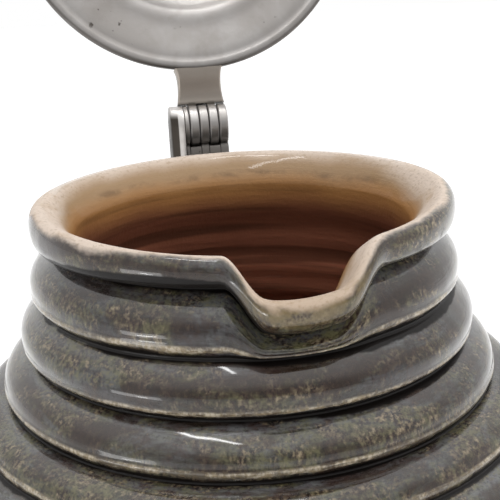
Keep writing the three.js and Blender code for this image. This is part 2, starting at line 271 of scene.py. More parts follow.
def newGroup(name, inputs, outputs):
    kinds = {"Vector": "NodeSocketVector", "Color": "NodeSocketColor"}
    tree = bpy.data.node_groups.new(name, "ShaderNodeTree")
    for way, titles in (("INPUT", inputs), ("OUTPUT", outputs)):
        for title in titles:
            kind = kinds.get(title, "NodeSocketFloat")
            tree.interface.new_socket(title, in_out=way, socket_type=kind)
    return tree, tree.nodes.new("NodeGroupInput").outputs, tree.nodes.new("NodeGroupOutput")


def useGroup(tree, group, inputs):
    return addNode(tree, "ShaderNodeGroup", inputs, node_tree=group).outputs


def startMaterial(name, settings):
    material = bpy.data.materials.new(name)
    material.use_nodes = True
    tree = material.node_tree
    shader = tree.nodes["Principled BSDF"]
    for key, value in settings.items():
        shader.inputs[key].default_value = value
    return material, tree, shader


def bumpFrom(layers):
    # layers are (height, strength, distance in mm), laid over each other
    normal = None
    for height, strength, distance in layers:
        inputs = {"Height": height, "Strength": strength, "Distance": distance * mm}
        if normal:
            inputs["Normal"] = normal
        normal = addNode(height.id_data, "ShaderNodeBump", inputs).outputs["Normal"]
    return normal


# ---- glaze shared by the jug and its handle

glazeColors = {
    "slate": (0.027, 0.030, 0.036), "olive": (0.042, 0.036, 0.014), "brown": (0.021, 0.010, 0.006),
    # the pale colour is a film on the glaze, and partly painted sheen
    "plum": (0.050, 0.026, 0.020), "paleAndSheen": (0.115, 0.121, 0.132), "moss": (0.13, 0.12, 0.058),
    # the darkest colour is dark glaze, and painted shadow in the grooves
    "spot": (0.30, 0.235, 0.15), "ridge": (0.54, 0.47, 0.36), "darkAndShadow": (0.005, 0.0035, 0.003),
}
glazeShader = {"Coat Roughness": 0.08, "Coat IOR": 1.5, "IOR": 1.5, "Specular IOR Level": 0.08}
glazeNoises = {
    # stretch, then the scale, detail, roughness and distortion of the noise
    "broad": ((1, 1, 2.4), 15, 3, 0.6, 0.5),
    "patches": ((1, 1, 2.4), 46, 6, 0.72, 0.6),
    "clusters": ((1, 1, 2.4), 34, 5, 0.68, 0.5),
    "veins": ((1, 1, 4), 130, 5, 0.7, 0.4),
    "tints": ((1.15, 1.15, 0.7), 230, 5, 0.75, 0.3),
    "flecks": ((1.15, 1.15, 0.7), 950, 3, 0.6),
}
glazeLayers = {
    # noise, where the layer sets in, where it is full, how strong it gets, and its colour
    "oliveGround": ("broad", 0.38, 0.62, 1, "olive"),
    "brownPatches": ("patches", 0.44, 0.55, 1, "brown"),
    "plumTint": ("tints", 0.42, 0.68, 0.8, "plum"),
    "darkVeins": ("veins", 0.5, 0.7, 0.65, "darkAndShadow"),
    "darkFlecks": ("flecks", 0.5, 0.3, 0.6, "darkAndShadow"),
    "brownClusters": ("clusters", 0.5, 0.36, 0.6, "brown"),
}


def makeGlazeGroup():
    colors = glazeColors
    tree, inputs, outputs = newGroup("mottledGlaze", ["Vector", "Edge", "ShadowAndPooling", "FilmAndSheen"],
                                     ["Color", "Height", "Bare"])
    noises = {name: addNoise(stretched(inputs["Vector"], stretch), *settings)
              for name, (stretch, *settings) in glazeNoises.items()}
    patches, clusters, veins, tints, flecks = list(noises.values())[1:]

    def layer(title):
        noiseName, low, high, most, name = glazeLayers[title]
        return fade(noises[noiseName], low, high, 0, most), name

    # a pale film beside the patches, and where the material asks for it a band that is partly painted sheen,
    # broken by the veins
    filmAndSheen = plus(inputs["FilmAndSheen"], fade(patches, 0.5, 0.36, 0, 0.75), clamp=True)
    paleAndSheen = times(filmAndSheen, fade(veins, 0.65, 0.4, 0.2, 1))
    # moss green and light specks, thickest in the clusters
    mossy = times(fade(tints, 0.56, 0.34), fade(clusters, 0.4, 0.6, 0.08, 0.85))
    specks = fade(blendOf(flecks, tints, 0.6), 0.46, 0.66)
    speckled = minus(times(specks, fade(clusters, 0.4, 0.58, 0.15, 1)), times(filmAndSheen, 0.25), clamp=True)
    speckColor = mixColor(fade(veins, 0.38, 0.62), colors["moss"], colors["spot"])
    color = overlaid(colors["slate"], colors, layer("oliveGround"), layer("brownPatches"), (paleAndSheen, "paleAndSheen"),
                     layer("plumTint"), layer("darkVeins"), (mossy, "moss"))
    # the hollow input lays painted groove shadow and pooled glaze in the darkest colour
    color = overlaid(mixColor(speckled, color, speckColor), colors, layer("darkFlecks"),
                     layer("brownClusters"), (inputs["ShadowAndPooling"], "darkAndShadow"))
    # the glaze has run off the ridges
    bare = times(inputs["Edge"], fade(plus(tints, veins), 0.85, 1.12, 1, 0.2))
    ridgeColor = mixColor(fade(flecks, 0.4, 0.6), colors["ridge"], colors["spot"])
    color = mixColor(bare, color, ridgeColor)
    linkInputs(outputs, {"Color": color, "Height": blendOf(patches, flecks, 0.6), "Bare": bare})
    return tree


glazeGroup = makeGlazeGroup()


# ---- pewter shared by the lid and the mounts

pewterColors = {
    "clean": (0.56, 0.541, 0.527), "dull": (0.30, 0.27, 0.243), "stain": (0.315, 0.275, 0.235),
    # the dark colour is dirt in the pits, and painted shade where the pieces ask for it
    "dirtAndShade": (0.035, 0.028, 0.022),
}
pewterNoises = {
    # scale, detail, roughness and distortion
    "clouds": (32, 4, 0.6, 0.6), "smudges": (110, 4, 0.6, 0.3), "grain": (1300, 2, 0.5),
    "pitting": (330, 2, 0.5),
}


def makePewterGroup():
    colors = pewterColors
    tree, inputs, outputs = newGroup("wornPewter", ["Vector", "Tarnish", "Stain", "ShadeAndGrime"],
                                     ["Color", "Roughness", "Height"])
    clouds, smudges, grain, pitting = (addNoise(inputs["Vector"], *settings)
                                       for settings in pewterNoises.values())
    tarnish = plus(inputs["Tarnish"], fade(clouds, 0.38, 0.62, 0, 0.38), clamp=True)
    pits = times(fade(pitting, 0.68, 0.74, 0, 0.85), fade(clouds, 0.5, 0.6))
    # the grime input lays painted shade as well as dirt
    color = overlaid(colors["clean"], colors, (tarnish, "dull"), (fade(smudges, 0.5, 0.7, 0, 0.25), "dull"),
                     (inputs["Stain"], "stain"), (inputs["ShadeAndGrime"], "dirtAndShade"), (pits, "dirtAndShade"))
    rough = plus(fade(clouds, 0.3, 0.7, 0.32, 0.46), times(smudges, 0.08))
    height = blendOf(smudges, grain, 0.8)
    linkInputs(outputs, {"Color": color, "Roughness": rough, "Height": height})
    return tree


pewterGroup = makePewterGroup()


# ---- the stoneware jug

jugSizes = {
    "height": 232, "rimRadius": 52, "crestRadius": 49.4, "throatRadius": 41.4, "throatDrop": 8.5,
    "grooves": [(46.3, 9.4), (51.1, 23), (54.3, 35), (60.8, 45.6), (69.4, 53), (78.3, 62.6)],
    "ribDepth": 3.9, "ribShallowing": 0.35, "ribSkew": 1.25, "ribRoundness": 0.7, "ribSteps": 24,
    "ridgeAt": 0.86, "ridgeHeight": 0.6, "ridgeWidth": 0.035, "bellyRadius": 92, "bellyDrop": 112,
    "shoulderTurn": 30, "shoulderLead": 14, "bellyTurn": 55,
    "footRadius": 60, "footHeight": 9, "footFlare": 3, "footTurn": 38, "wall": 5.2, "floor": 10,
    "columns": 240, "columnPull": (0.3, 0.12), "rollShare": 0.44, "rollSquare": (0.75, 0.9),
    "slopeBend": (1.35, 1.15), "ringDepth": 0.45, "ringPitch": 9.5, "innerCorner": 9,
    "waves": [(1.3, 0.045, 0, 0.28), (0.7, 0.012, 5, 0.35), (13, 0.3, 0, 0.07)], "sway": 0.45,
}
spoutSizes = {
    # mm, and degrees from the lip's middle for what goes round the rim: to its left, then to its right
    "dip": 7.8, "roll": (1.2, 0.5, 7), "flat": (6.5, 9.5), "reach": (16, 24), "round": 0.0011,
    "pull": 6, "pullFlat": (4, 9), "pullReach": (15, 26), "turn": 1.2, "pullFade": 22,
    "dipFade": (8, 26), "frontSag": 2, "sagReach": 85, "sagFade": 9, "shareFade": (6, 18),
}


def atDrop(radius, drop):
    return Vector((radius, jugSizes["height"] - drop))


def besideLine(points, distance):
    # the points moved sideways, away from the jug's axis when the distance is positive
    moved = []
    for index, point in enumerate(points):
        run = points[min(index + 1, len(points) - 1)] - points[max(index - 1, 0)]
        run.normalize()
        moved.append(Vector((point.x - run.y * distance, point.y + run.x * distance)))
    return moved


def wallLines():
    sizes = jugSizes
    grooves = [atDrop(*darkAndShadow) for darkAndShadow in sizes["grooves"]]
    slope = (grooves[-1] - grooves[-2]).normalized() * sizes["shoulderLead"]
    widest = atDrop(sizes["bellyRadius"], sizes["bellyDrop"])
    shoulder = interpolate_bezier(grooves[-1], grooves[-1] + slope,
                                  widest + Vector((0, sizes["shoulderTurn"])), widest, 26)
    foot = Vector((sizes["footRadius"], sizes["footHeight"]))
    belly = interpolate_bezier(widest, widest - Vector((0, sizes["bellyTurn"])),
                               foot + Vector((sizes["footFlare"], sizes["footTurn"])), foot, 36)
    return grooves, shoulder, belly[1:]


def outerLine():
    # (radius, height, rib turn) of the outside, from the first groove down to the foot
    sizes = jugSizes
    grooves, shoulder, belly = wallLines()
    line = []
    ribs = len(grooves) - 1
    for rib in range(ribs):
        run = (grooves[rib + 1] - grooves[rib]).normalized()
        depth = sizes["ribDepth"] * (1 - sizes["ribShallowing"] * (rib / (ribs - 1)) ** 2)
        for step in range(sizes["ribSteps"]):
            s = step / sizes["ribSteps"]
            middle = grooves[rib].lerp(grooves[rib + 1], s)
            bulge = depth * math.sin(math.pi * s ** sizes["ribSkew"]) ** sizes["ribRoundness"]
            bulge += sizes["ridgeHeight"] * math.exp(-((s - sizes["ridgeAt"]) / sizes["ridgeWidth"]) ** 2)
            line.append((middle.x - run.y * bulge, middle.y + run.x * bulge, rib + s))
    line += [(point.x, point.y, ribs + index * 0.12) for index, point in enumerate(shoulder + belly)]
    return line


def rimLine():
    # (radius, height) over the rolled rim and down the slope inside it
    sizes = jugSizes
    bead = sizes["rimRadius"] - sizes["crestRadius"]
    rise = sizes["grooves"][0][1] * sizes["rollShare"]
    across, upward = sizes["rollSquare"]
    crest = []
    for degree in range(-58, 106, 9):
        cosine, sine = polar(1, degree)
        crest.append((sizes["crestRadius"] + bead * signedPower(cosine, across),
                      sizes["height"] + rise * (signedPower(sine, upward) - 1)))
    slope = []
    radius, height = crest[-1]
    narrowing, falling = sizes["slopeBend"]
    for step in range(1, 13):
        t = step / 12
        slope.append((radius + (sizes["throatRadius"] - radius) * (1 - (1 - t) ** narrowing),
                      height + (sizes["height"] - sizes["throatDrop"] - height) * t ** falling))
    return crest, slope


def innerLine():
    # (radius, height) from under the throat down to the middle of the floor, with the thrown rings
    sizes = jugSizes
    grooves, shoulder, belly = wallLines()
    through = besideLine(grooves, -sizes["wall"])[1:]
    through[0].x -= 1.5
    coarse = [atDrop(sizes["throatRadius"] + 0.4, sizes["throatDrop"] + 6)] + through
    coarse += besideLine(shoulder, -sizes["wall"])[2::2] + besideLine(belly, -sizes["wall"])[1:-8:2]
    fine = [coarse[0]]
    for low, high in zip(coarse, coarse[1:]):
        cuts = max(1, round((high - low).length / 2.3))
        fine += [low.lerp(high, cut / cuts) for cut in range(1, cuts + 1)]
    for smoothing in range(4):
        inner = [(a + b * 2 + c) / 4 for a, b, c in zip(fine, fine[1:], fine[2:])]
        fine = [fine[0]] + inner + [fine[-1]]
    line = []
    for point in fine:
        drop = sizes["height"] - point.y
        ring = math.sin(drop / sizes["ringPitch"] * math.tau + 0.6 * math.sin(drop * 0.11))
        line.append((point.x + sizes["ringDepth"] * ring * smoothStep(12, 24, drop), point.y))
    radius, height = line[-1]
    for step in range(1, 8):
        cosine, sine = polar(1, 90 * step / 7)
        line.append((radius - sizes["innerCorner"] * (1 - cosine) - 1.5 * sine,
                     height + (sizes["floor"] - height) * sine))
    return line + [(40, 10.1), (27, 9.9), (14, 10.2), (0, 10)]


def jugProfile():
    # (radius, height, rib turn) from the base up the outside, over the rim and down to the floor inside
    sizes = jugSizes
    outside = outerLine()
    top = outside[-1][2]
    foot, flare, rise = sizes["footRadius"], sizes["footFlare"], sizes["footHeight"]
    for degree in range(-60, 91, 15):
        cosine, sine = polar(1, degree)
        outside.append((foot + flare * cosine * 0.95 + 0.1, rise * (0.42 - 0.36 * sine), top + 1))
    outside += [(foot + flare * 0.4, 0.2, top + 1.2), (foot - 0.6, 0, top + 1.3), (foot - 4, 0, top + 1.4)]
    crest, slope = rimLine()
    profile = [(0, 0.8, top + 2), (foot * 0.5, 0.7, top + 1.8), (foot - 6, 0.6, top + 1.5)] + outside[::-1]
    firstRim = len(profile)
    profile += [(r, z, -0.1) for r, z in crest]
    crestIndex = max(range(firstRim, len(profile)), key=lambda index: profile[index][1])
    profile += [(r, z, -1) for r, z in slope + innerLine()]
    along = [0.0]
    for a, b in zip(profile, profile[1:]):
        along.append(along[-1] + math.hypot(b[0] - a[0], b[1] - a[1]))
    return profile, [along[crestIndex] - value for value in along]


def spoutShare(angle):
    # shares of the dip and of the outward pull, and the angle from the middle of the lip
    sizes = spoutSizes
    fromLip = math.degrees(angle) - sizes["turn"]
    side = 1 if fromLip > 0 else 0
    fromLip = abs(fromLip)
    dip = 1 - smoothStep(sizes["flat"][side], sizes["reach"][side], fromLip)
    pull = 1 - smoothStep(sizes["pullFlat"][side], sizes["pullReach"][side], fromLip)
    return dip * max(0, 1 - sizes["round"] * fromLip ** 2), pull, fromLip


def handmadeShift(angle, height):
    # slow wander and fine ripple of a wall that was thrown by hand, in mm
    return sum(depth * waveAround(angle, turns, height * rise, shift)
               for turns, rise, shift, depth in jugSizes["waves"])


def makeJugBody(material):
    profile, fromCrest = jugProfile()
    bm, ribTurn, crestWay, lipShare = newMesh("ribTurn", "crestWay", "lipShare")
    spinProfile(bm, [(r, z) for r, z, turn in profile], jugSizes["columns"],
                layers={ribTurn: [turn for r, z, turn in profile], crestWay: fromCrest})
    closeUp(bm)
    pull, spout = jugSizes["columnPull"], spoutSizes
    for vert in bm.verts:
        radius = math.hypot(vert.co.x, vert.co.y) / mm
        if radius < 1e-3:
            continue
        angle = math.atan2(vert.co.x, -vert.co.y)
        spread = angle - pull[0] * math.sin(angle) - pull[1] * math.sin(2 * angle)
        height = vert.co.z / mm
        drop = jugSizes["height"] - height
        share, pulled, fromLip = spoutShare(spread)
        out = spout["pull"] * pulled * (1 - smoothStep(0, spout["pullFade"], drop))
        sag = spout["frontSag"] * (1 - smoothStep(0, spout["sagReach"], fromLip))
        roll, rollFrom, rollTo = spout["roll"]
        dip = spout["dip"] + roll * smoothStep(rollFrom, rollTo, drop)
        dip *= share * (1 - smoothStep(*spout["dipFade"], drop))
        down = dip + sag * (1 - smoothStep(0, spout["sagFade"], drop))
        vert[lipShare] = share * (1 - smoothStep(*spout["shareFade"], drop))
        radius += out + handmadeShift(spread, height) * smoothStep(4, 14, height)
        sway = jugSizes["sway"] * waveAround(spread, 0.9, height * 0.03 + 9)
        height -= down - sway * smoothStep(6, 16, drop) * smoothStep(8, 20, height)
        vert.co = Vector((radius * math.sin(spread), -radius * math.cos(spread), height)) * mm
    finishPiece(bm, "stonewareJug", "jug", "jug_body", material)


rimColors = {
    "clay": (0.68, 0.57, 0.48), "clayDark": (0.33, 0.24, 0.16), "stain": (0.40, 0.26, 0.13),
    "tan": (0.34, 0.225, 0.125), "ochre": (0.38, 0.185, 0.062), "redBrown": (0.18, 0.064, 0.036),
    "low": (0.74, 0.29, 0.175), "floor": (0.13, 0.05, 0.028), "lipEdge": (0.20, 0.145, 0.062),
}
insideBands = {
    # mm down from the crest inside, where each colour sets in and where it is full
    "ochre": (6.5, 13), "redBrown": (10.5, 21), "low": (24, 42), "floor": (62, 95),
}
jugNoises = {
    # scale, detail, roughness and distortion
    "wobble": (40, 3), "ragged": (160, 4, 0.65), "breaks": (30, 2), "deepBands": (11, 2),
    "grit": (900, 3, 0.6), "blotch": (95, 4, 0.6, 0.3), "runs": (240, 5, 0.7, 0.4),
    "drift": (30, 3), "rings": (26, 3, 0.5), "lines": (70, 3, 0.5), "pits": (1500, 2, 0.5),
}
ribLooks = {
    # places on a rib, from 0 at its upper groove to 1 at its lower one
    "ridgeStart": (0.79, 0.845), "ridgeEnd": (0.92, 0.88), "grooveShadeStart": (0.91, 0.95),
    "grooveShadeEnd": (0.07, 0.02), "deeper": 0.1, "filmAndSheen": (0.16, 0.15), "filmAndSheenStrength": 0.8,
    "wobble": 0.08, "ragged": 0.12,
    # mm down from the crest outside
    "pooled": (9.2, 10.2), "pooledRagged": 14, "pooledLeft": 4.2,
    # metres from the middle, to the left
    "leftOfLip": (-0.026, 0.04),
}
rimLooks = {
    # mm down from the crest
    "clayEnd": (1.4, -0.5), "ragged": 5, "lipWidening": 1.7, "lipEdge": (8, 4), "insideDrift": 7,
    "tan": (4.5, 11), "seam": (8.6, 1.6), "rings": (9, 18), "glazed": (4, 10),
    # metres from the middle: to the left, with the widening in mm, and to the back
    "leftWidening": (-0.02, -0.046, 0, 1.5), "back": (-0.006, 0.028),
    # glazed, then bare
    "roughness": (0.26, 0.62), "coat": (1, 0.12),
}


def ribMasks(ribTurn, crestWay, along, fromMiddle):
    # the bare ridge low on each rib, the painted shadow of the groove under it, and a pale film where the
    # next rib starts that is partly painted sheen
    looks = ribLooks
    ribs = len(jugSizes["grooves"]) - 1
    share = doMath("FRACT", ribTurn)
    onRibs = times(fade(ribTurn, 0.0, 0.03), fade(ribTurn, ribs - 0.05, ribs - 0.01, 1, 0))
    wobble, ragged, breaks, deepBands = (addNoise(along, *jugNoises[name])
                                         for name in ("wobble", "ragged", "breaks", "deepBands"))
    wobble, ragged = swing(wobble, looks["wobble"]), swing(ragged, looks["ragged"])
    ridgeWay = plus(share, wobble)
    grooveWay = plus(share, plus(wobble, ragged))
    edge = times(fade(ridgeWay, *looks["ridgeStart"]), fade(grooveWay, *looks["ridgeEnd"]))
    edge = times(times(edge, onRibs), fade(breaks, 0.35, 0.5, 0.4, 1))
    # the painted groove shadow reaches further down the next rib where the bands deepen it
    deep = times(fade(deepBands, 0.47, 0.6), fade(ribTurn, 0.9, 1))
    lower = minus(grooveWay, times(deep, looks["deeper"]))
    under = larger(fade(grooveWay, *looks["grooveShadeStart"]), fade(lower, *looks["grooveShadeEnd"]))
    # dark glaze has pooled under the bead, most of all to the left of the lip
    pooled = plus(plus(crestWay, times(ragged, looks["pooledRagged"])),
                  times(peak(fromMiddle, *looks["leftOfLip"]), looks["pooledLeft"]))
    pooled = times(fade(pooled, *looks["pooled"]), fade(ribTurn, 0.05, 0.0))
    # painted groove shadow together with the pooled glaze, but not on the shoulder
    shadowAndPooling = times(larger(under, pooled), fade(ribTurn, ribs + 0.12, ribs + 0.02))
    # a pale band where the next rib starts, partly painted sheen
    filmAndSheen = times(peak(ridgeWay, *looks["filmAndSheen"]), times(onRibs, fade(deep, 0, 1, 1, 0.2)))
    return edge, shadowAndPooling, times(filmAndSheen, looks["filmAndSheenStrength"])


def makeJugMaterial():
    colors, looks = rimColors, rimLooks
    material, tree, shader = startMaterial("ribbedStoneware", glazeShader)
    place = splitXyz(objectPlace(tree))
    crestWay, ribTurn, lip = (attributeValue(tree, name) for name in ("crestWay", "ribTurn", "lipShare"))
    # the patterns follow the surface: up becomes the way from the crest
    along = addNode(tree, "ShaderNodeCombineXYZ",
                    {"X": place["X"], "Y": place["Y"], "Z": times(crestWay, mm)}).outputs[0]
    edge, shadowAndPooling, filmAndSheen = ribMasks(ribTurn, crestWay, along, place["X"])
    glaze = useGroup(tree, glazeGroup, {"Vector": along, "Edge": edge, "ShadowAndPooling": shadowAndPooling, "FilmAndSheen": filmAndSheen})
    grit, blotch, runs, drift, pits = (addNoise(along, *jugNoises[name])
                                       for name in ("grit", "blotch", "runs", "drift", "pits"))
    rings = addNoise(stretched(along, (0.25, 0.25, 6)), *jugNoises["rings"])
    lines = addNoise(stretched(along, (1, 1, 9)), *jugNoises["lines"])

    # clay that shows through on the rim, outside of the crest and down the slope inside
    clay = overlaid(colors["clay"], colors, (fade(grit, 0.5, 0.72, 0, 0.5), "clayDark"),
                    (fade(blotch, 0.52, 0.75, 0, 0.5), "stain"), (times(lip, 0.5), "tan"))
    edgeWay = plus(crestWay, swing(blotch, looks["ragged"]))
    widened = plus(times(lip, looks["lipWidening"]), fade(place["X"], *looks["leftWidening"]))
    clayMask = fade(minus(edgeWay, widened), *looks["clayEnd"])
    lipEdge = times(lip, fade(edgeWay, *looks["lipEdge"]))
    lipEdge = times(lipEdge, fade(runs, 0.38, 0.62, 0.05, 0.85))
    outside = mixColor(lipEdge, glaze["Color"], colors["lipEdge"])

    # the inside, from the tan glaze of the back slope to a dark red-brown below the throat
    back = fade(place["Y"], *looks["back"])
    inward = plus(times(crestWay, -1), swing(drift, looks["insideDrift"]))
    tan = fade(plus(inward, times(back, 4.5)), *looks["tan"])
    inside = overlaid(clay, colors, (tan, "tan"), *((fade(inward, *reach), name)
                                                    for name, reach in insideBands.items()))
    seam = times(times(peak(inward, *looks["seam"]), fade(blotch, 0.42, 0.65, 0, 0.4)), back)
    bands = times(fade(rings, 0.47, 0.6, 0, 0.6), fade(inward, *looks["rings"]))
    inside = overlaid(inside, glazeColors, (seam, "brown"), (bands, "brown"))
    color = mixColor(clayMask, outside, clay)
    color = mixColor(fade(crestWay, 0.3, -0.8), color, inside)

    # bare clay is matte, and so are the grooves with their painted shadow
    glazed = fade(plus(inward, times(back, 9)), *looks["glazed"])
    bare = times(clayMask, fade(glazed, 0, 1, 1, 0.15))
    bare = larger(bare, times(glaze["Bare"], 0.4))
    rough = larger(fade(bare, 0, 1, *looks["roughness"]), times(shadowAndPooling, 0.55))
    coat = times(fade(bare, 0, 1, *looks["coat"]), fade(shadowAndPooling, 0, 1, 1, 0.3))
    normal = bumpFrom([(glaze["Height"], 0.3, 0.8), (lines, 0.4, 0.5), (pits, 0.12, 0.15),
                       (times(grit, clayMask), 0.3, 0.3)])
    linkInputs(shader, {"Base Color": color, "Roughness": rough, "Coat Weight": coat, "Normal": normal})
    return material


makeJugBody(makeJugMaterial())


# ---- the strap handle and the band round it

handleSizes = {
    "width": 27, "thickness": 11, "taper": 0.78, "reach": 118, "topDrop": 16, "footDrop": 119,
    "flat": 9, "sink": (3, 8), "bow": [(0.119, 0.126), (0.0085, 0.369), (0.017, 0.621), (0.119, 0.845)],
    "valley": 1.1, "square": (0.55, 0.8), "roots": ((2.2, 0.05), (4.5, 0.06)), "wobble": (0.25, 41, 17),
    "sides": 44, "steps": 110, "rootDepth": 2.5,
}
hingeSizes = {
    "y": 71, "rise": 5, "barrel": 6.6, "knuckle": 2.75, "gap": 0.3, "cheek": 1.9, "footDepth": 9.4,
    "pin": 2.1, "pinHead": 3.3, "openAngle": 107, "bottom": -15.6, "cheekWaist": (-5.4, -9),
    "wrap": {"knuckle": (-55, 235), "gap": (-55, -125)},
    "cheekSlices": [(-1.1, 0.35, 2.4), (-0.9, 0.05, 2.1), (-0.7, 0, 1.9), (1.1, 0, 1.1), (1.3, 0, 0.9),
                    (2.8, 0, 0.05), (3, 0, 0), (3.15, 0.3, 0)],
    "bevel": 0.28,
}
# the hinge is placed from this point, and so is all that turns on it
hingeAxis = Vector((0, hingeSizes["y"], jugSizes["height"] + hingeSizes["rise"]))
bandSizes = {"reach": 9, "seat": 0.3, "thickness": 2.2, "edge": 0.8, "crown": 0.25, "steps": 22}


def handleSamples(steps):
    sizes = handleSizes
    drop = sizes["footDrop"] - sizes["topDrop"]
    line = [(jugSizes["throatRadius"] + sizes["sink"][0], sizes["topDrop"] + sizes["sink"][0])]
    line += [(hingeSizes["y"] + side * sizes["flat"], sizes["topDrop"]) for side in (-1, 1)]
    line += [(sizes["reach"] * (1 - short), sizes["topDrop"] + drop * down) for short, down in sizes["bow"]]
    line.append((jugSizes["bellyRadius"] - sizes["sink"][1], sizes["footDrop"]))
    return curveThrough([(0, y, jugSizes["height"] - below) for y, below in line], steps)


def strapRing(sample, width, thickness, valley, sides):
    # a rounded strap section at a sample of the handle's line
    point, way = sample[:2]
    out = Vector((0, -way.z, way.y))
    squareAcross, squareAway = handleSizes["square"]
    ring = []
    for index in range(sides):
        angle = math.tau * index / sides
        across = signedPower(math.cos(angle), squareAcross) * width / 2
        away = signedPower(math.sin(angle), squareAway) * thickness / 2
        if math.sin(angle) > 0:
            away -= valley * max(0, math.cos(across / width * math.pi * 1.6))
        ring.append(Vector((across, 0, 0)) + point + out * away)
    return ring


def outsideRadius(height, line):
    for above, below in zip(line, line[1:]):
        if below[1] <= height <= above[1]:
            drop = (above[1] - height) / max(1e-6, above[1] - below[1])
            return above[0] + (below[0] - above[0]) * drop
    return 0.0


def makeHandle(material):
    sizes = handleSizes
    (upperGrow, upperReach), (lowerGrow, lowerReach) = sizes["roots"]
    depth, quick, slow = sizes["wobble"]
    rings = []
    for sample in handleSamples(sizes["steps"]):
        share = sample[2]
        size = 1 + (sizes["taper"] - 1) * share
        # the clay is wiped out over the wall at both roots
        root = upperGrow * math.exp(-share / upperReach) + lowerGrow * math.exp(-(1 - share) / lowerReach)
        wobble = depth * math.sin(share * quick) * math.sin(share * slow)
        width = sizes["width"] * size + root * 1.2 + wobble
        thickness = sizes["thickness"] * size + root * 0.5
        rings.append(strapRing(sample, width, thickness, sizes["valley"] * size, sizes["sides"]))
    bm = bmesh.new()
    loftRings(bm, rings)
    line = outerLine()
    for vert in bm.verts:
        radius = math.hypot(vert.co.x, vert.co.y)
        least = (outsideRadius(vert.co.z / mm, line) - sizes["rootDepth"]) * mm
        if radius < least:
            vert.co.x *= least / radius
            vert.co.y *= least / radius
    closeUp(bm, 1e-5)
    finishPiece(bm, "strapHandle", "jug", "handle", material)


def makeHandleMaterial():
    material, tree, shader = startMaterial("handleGlaze", {**glazeShader, "Coat Roughness": 0.09})
    # the pattern is moved to the handle and squeezed across it
    place = addNode(tree, "ShaderNodeMapping", {"Vector": objectPlace(tree), "Location": (0, -0.09, -0.16),
                                                "Scale": (1.8, 1, 1)}).outputs["Vector"]
    side = doMath("ABSOLUTE", splitXyz(place)["X"])
    breaks = fade(addNoise(place, 60, 2), 0.35, 0.55)
    edge = times(peak(side, 0.0205, 0.0022), breaks)
    glaze = useGroup(tree, glazeGroup, {"Vector": place, "Edge": edge, "ShadowAndPooling": 0.0, "FilmAndSheen": 0.0})
    pulled = addNoise(stretched(objectPlace(tree), (7, 1, 1)), 60, 3, 0.5)
    linkInputs(shader, {
        "Base Color": glaze["Color"],
        "Roughness": fade(glaze["Bare"], 0, 1, 0.26, 0.5),
        "Coat Weight": fade(glaze["Bare"], 0, 1, 1.0, 0.5),
        "Normal": bumpFrom([(glaze["Height"], 0.35, 0.8), (pulled, 0.3, 0.6)])})
    return material


makeHandle(makeHandleMaterial())


def makePewterMaterial(name, tarnish):
    material, tree, shader = startMaterial(name, {"Metallic": 0.9, "Specular IOR Level": 0.5})
    inputs = {"Vector": objectPlace(tree), "Tarnish": tarnish, "Stain": attributeValue(tree, "stain"),
              "ShadeAndGrime": attributeValue(tree, "shadeAndGrime")}
    pewter = useGroup(tree, pewterGroup, inputs)
    linkInputs(shader, {
        "Base Color": pewter["Color"], "Roughness": pewter["Roughness"],
        "Normal": bumpFrom([(pewter["Height"], 0.25, 0.25)])})
    return material


mountPewter = makePewterMaterial("mountPewter", 0.2)
lidPewter = makePewterMaterial("lidPewter", 0.0)


def makeBand(material):
    # a strap of pewter cast round the handle under the hinge
    sizes = bandSizes
    span = [sample for sample in handleSamples(900)
            if abs(sample[0].y - hingeSizes["y"]) <= sizes["reach"] and sample[2] < 0.5]
    length = (span[-1][0] - span[0][0]).length
    outer, inner = sizes["seat"] + sizes["thickness"], sizes["seat"] - 0.5
    edge, steps = sizes["edge"], sizes["steps"]
    # (share of the band's length, growth over the strap), back along the inside and out over the outside
    corner = []
    for degree in range(0, 91, 30):
        cosine, sine = polar(1, degree)
        short = edge * (1 - sine)
        corner.append((short / length, outer - short - edge * 0.2 * cosine))
    stops = [(way / steps, inner) for way in range(steps, -1, -1)] + corner
    stops += [(way / steps, outer + sizes["crown"] * math.sin(math.pi * way / steps))
              for way in range(2, steps - 1)]
    stops += [(1 - way, grow) for way, grow in corner[::-1]]
    rings = []
    for way, grow in stops + stops[:1]:
        sample = span[round(min(1, max(0, way)) * (len(span) - 1))]
        size = 1 + (handleSizes["taper"] - 1) * sample[2]
        rings.append(strapRing(sample, handleSizes["width"] * size + 2 * grow,
                               handleSizes["thickness"] * size + 2 * grow, 0.7, 56))
    bm = bmesh.new()
    loftRings(bm, rings, closed=True)
    finishPiece(bm, "handleBand", "jug", "handle_band", material, 40)


makeBand(mountPewter)


# ---- the hinge: cheek, knuckles, pin

def knuckleMiddle(index):
    return (index - 2) * (hingeSizes["knuckle"] + hingeSizes["gap"])


def hingeOutline(kind, inset, setBack=0):
    # (y, z) from the hinge axis: over or under the barrel first, then round the foot
    sizes = hingeSizes
    barrel, bottom = sizes["barrel"], sizes["bottom"]
    if kind == "cheek":
        waist, skirt = sizes["cheekWaist"]
        top = [polar(barrel, degree) for degree in range(0, 181, 6)]
        upper = [(barrel, waist)] + top + [(-barrel, waist)]
        foot = [(-barrel, skirt), (-barrel, bottom), (0, bottom), (barrel, bottom), (barrel, skirt)]
    else:
        half = sizes["footDepth"] / 2
        radius = barrel + (2 * sizes["gap"] if kind == "gap" else 0)
        start, stop = sizes["wrap"][kind]
        upper = [polar(radius, start + (stop - start) * step / 32) for step in range(33)]
        foot = [(-half, -barrel), (-half - 1, bottom), (0, bottom), (half + 1.5, bottom), (half, -barrel)]
    line = [Vector(point) for point in upper + foot]
    moved = []
    for index, point in enumerate(line):
        run = (line[(index + 1) % len(line)] - line[index - 1]).normalized()
        place = point + Vector((-run.y, run.x)) * inset
        if place.x < 0:
            place.x *= 1 - setBack / barrel
        moved.append(place)
    return moved


def knuckleShadeAndGrime(low):
    # painted shade: darker down the front of the barrel, over an even dulling, where low is its height in
    # barrel radii
    return 0.26 + 0.42 * smoothStep(-0.05, -0.6, low)


